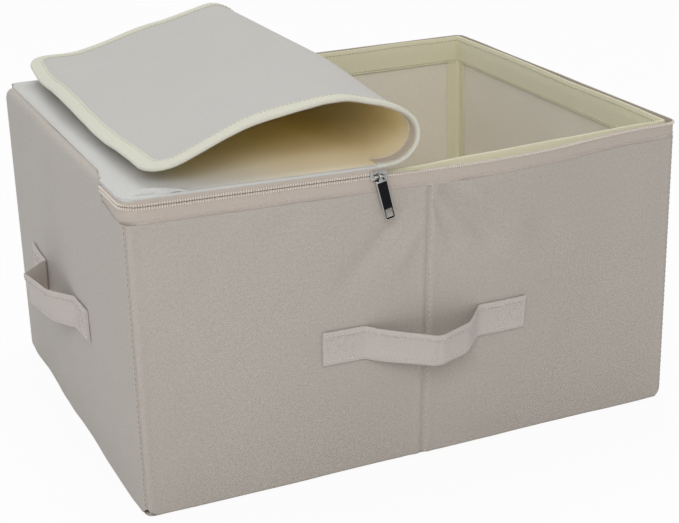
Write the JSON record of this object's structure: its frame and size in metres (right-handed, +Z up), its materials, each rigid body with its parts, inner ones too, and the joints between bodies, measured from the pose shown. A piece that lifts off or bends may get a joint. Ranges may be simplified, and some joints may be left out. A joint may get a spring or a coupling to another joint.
{
  "type": "under bed box",
  "caption": "Rectangular fabric storage box with stiffened, foldable walls, strap handles and a zipped fabric lid folded back half open.",
  "frame": {"origin": "centre of the base's underside", "axes": "+X along the long front to the right, +Y from front to back, +Z up; the lid is sewn to the -X wall"},
  "size_m": [0.5522, 0.4386, 0.3303],
  "materials": {
    "outer_cloth": "woven, matt",
    "lining": "non-woven, matt",
    "binding": "woven tape, matt",
    "board": "bare pressed board",
    "zip_tape": "woven tape, matt",
    "zip_teeth": "satin nylon",
    "zip_metal": "black nickel, polished"
  },
  "bodies": {
    "box": {"bottom_cloth": "outer_cloth", "base_board": "board", "base_board_cover": "lining", "front_cloth": "outer_cloth", "back_cloth": "outer_cloth", "left_cloth": "outer_cloth", "right_cloth": "outer_cloth", "front_board_left": "board", "front_board_right": "board", "back_board_left": "board", "back_board_right": "board", "left_board": "board", "right_board": "board", "front_lining": "lining", "back_lining": "lining", "left_lining": "lining", "right_lining": "lining", "rim_binding": "binding", "corner_tapes": "binding", "box_zip_tape": "zip_tape", "box_zip_teeth": "zip_teeth", "front_handle_ends": "outer_cloth", "left_handle_ends": "outer_cloth", "right_handle_ends": "outer_cloth"},
    "lid": {"lid_cloth": "outer_cloth", "lid_lining": "lining", "lid_binding": "binding", "lid_zip_tape": "zip_tape", "lid_zip_teeth": "zip_teeth"},
    "bend_1": {"bend_cloth_1": "outer_cloth", "bend_binding_1": "binding", "bend_zip_1": "zip_tape"},
    "bend_2": {"bend_cloth_2": "outer_cloth", "bend_binding_2": "binding", "bend_zip_2": "zip_tape"},
    "bend_3": {"bend_cloth_3": "outer_cloth", "bend_binding_3": "binding", "bend_zip_3": "zip_tape"},
    "flap": {"flap_cloth": "outer_cloth", "flap_lining": "lining", "flap_binding": "binding", "flap_zip_tape": "zip_tape", "flap_zip_teeth": "zip_teeth"},
    "front_slider": {"front_slider": "zip_metal", "front_slider_bail": "zip_metal"},
    "front_pull": {"front_pull": "zip_metal"},
    "back_slider": {"back_slider": "zip_metal", "back_slider_bail": "zip_metal"},
    "back_pull": {"back_pull": "zip_metal"},
    "front_handle": {"front_handle_grip": "outer_cloth"},
    "left_handle": {"left_handle_grip": "outer_cloth"},
    "right_handle": {"right_handle_grip": "outer_cloth"}
  },
  "joints": [
    {"name": "lid_hinge", "type": "hinge", "parent": "box", "child": "lid", "pos_m": [-0.25, 0, 0.2719], "axis": [0, -1, 0], "range_deg": [0, 180]},
    {"name": "lid_fold_1", "type": "hinge", "parent": "lid", "child": "bend_1", "pos_m": [-0.02392, 0, 0.27357], "axis": [0, 1, 0], "range_deg": [0, 48]},
    {"name": "lid_fold_2", "type": "hinge", "parent": "bend_1", "child": "bend_2", "pos_m": [-0.00775, 0, 0.29152], "axis": [0, 1, 0], "range_deg": [0, 48]},
    {"name": "lid_fold_3", "type": "hinge", "parent": "bend_2", "child": "bend_3", "pos_m": [-0.01028, 0, 0.31555], "axis": [0, 1, 0], "range_deg": [0, 48]},
    {"name": "lid_fold_4", "type": "hinge", "parent": "bend_3", "child": "flap", "pos_m": [-0.02983, 0, 0.32975], "axis": [0, 1, 0], "range_deg": [0, 48]},
    {"name": "front_zip", "type": "slide", "parent": "box", "child": "front_slider", "axis": [-0.9974, 0.0718, 0], "range_m": [0, 0.176]},
    {"name": "front_pull_swing", "type": "hinge", "parent": "front_slider", "child": "front_pull", "pos_m": [-0.04491, -0.21758, 0.2655], "axis": [-0.9974, 0.0718, 0], "range_deg": [0, 150]},
    {"name": "back_zip", "type": "slide", "parent": "box", "child": "back_slider", "axis": [-1, 0, 0], "range_m": [0, 0.176]},
    {"name": "back_pull_swing", "type": "hinge", "parent": "back_slider", "child": "back_pull", "pos_m": [-0.0445, 0.2028, 0.2655], "axis": [1, 0, 0], "range_deg": [0, 150]},
    {"name": "front_handle_lift", "type": "hinge", "parent": "box", "child": "front_handle", "pos_m": [0, -0.21214, 0.121], "axis": [-1, 0, 0], "range_deg": [0, 50]},
    {"name": "left_handle_lift", "type": "hinge", "parent": "box", "child": "left_handle", "pos_m": [-0.256, 0, 0.121], "axis": [0, 1, 0], "range_deg": [0, 50]},
    {"name": "right_handle_lift", "type": "hinge", "parent": "box", "child": "right_handle", "pos_m": [0.256, 0, 0.121], "axis": [0, -1, 0], "range_deg": [0, 50]}
  ],
  "couplings": [
    {"joint": "lid_fold_2", "follows": "lid_fold_1", "ratio": 1},
    {"joint": "lid_fold_3", "follows": "lid_fold_1", "ratio": 1},
    {"joint": "lid_fold_4", "follows": "lid_fold_1", "ratio": 1}
  ]
}
